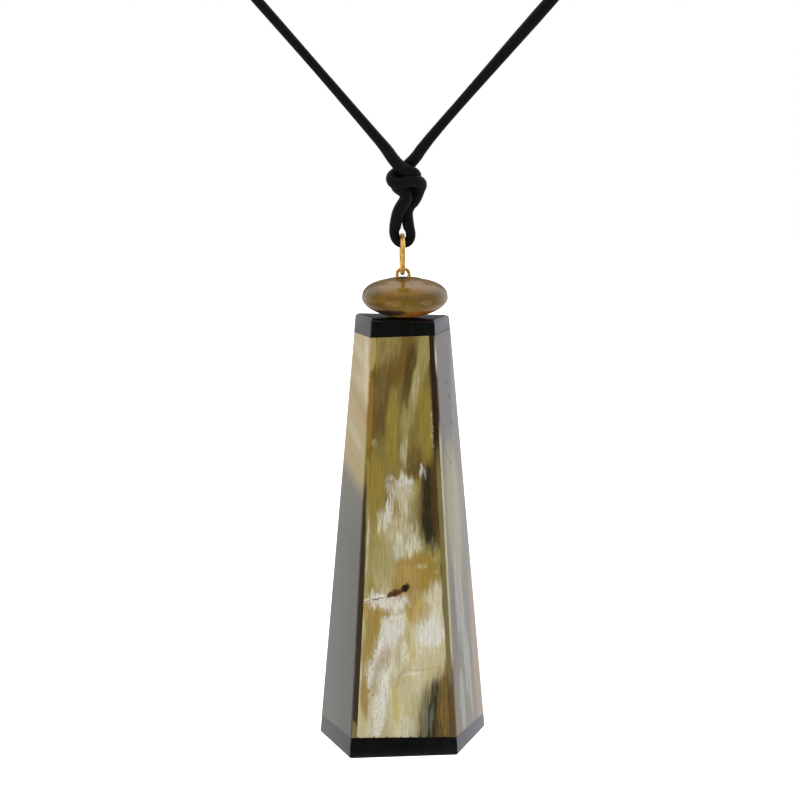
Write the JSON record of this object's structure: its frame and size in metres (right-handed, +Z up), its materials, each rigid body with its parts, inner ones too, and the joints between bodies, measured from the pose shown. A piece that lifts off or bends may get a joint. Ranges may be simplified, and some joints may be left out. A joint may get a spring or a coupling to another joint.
{
  "type": "horn pendant necklace",
  "caption": "Tall tapered horn-plate pendant with black end caps and a horn bead, hung by a gilt eye and ring from a knotted black cord loop.",
  "frame": {"origin": "under the clasp at the nape, where the necklace rests on what carries it", "axes": "+Z up along the hanging pendant, +X to the right seen from the front, the pendant's narrow face towards -Y"},
  "size_m": [0.154, 0.0188, 0.2758],
  "materials": {
    "gilt": "polished gilt wire",
    "cord": "black waxed round cord",
    "bead_horn": "polished amber-brown horn, slightly translucent",
    "black_horn": "polished black horn",
    "horn_front": "polished streaked blond and brown horn",
    "horn_back": "polished streaked brown horn",
    "horn_side": "polished cream and grey-brown horn"
  },
  "bodies": {
    "root": {"clasp": "gilt", "cord_left": "cord", "cord_right": "cord", "knot": "cord", "cord_loop": "cord"},
    "ring": {"jump_ring": "gilt"},
    "drop": {"eye": "gilt", "bead": "bead_horn", "top_cap": "black_horn", "base_cap": "black_horn", "front_plate": "horn_front", "back_plate": "horn_back", "left_plate": "horn_side", "right_plate": "horn_side"}
  },
  "joints": [
    {"name": "ring_swing", "type": "hinge", "parent": "root", "child": "ring", "pos_m": [0, 0, -0.1535], "axis": [1, 0, 0], "range_deg": [-60, 60]},
    {"name": "drop_swing", "type": "hinge", "parent": "ring", "child": "drop", "pos_m": [0, 0, -0.16005], "axis": [0, 1, 0], "range_deg": [-60, 60]}
  ]
}
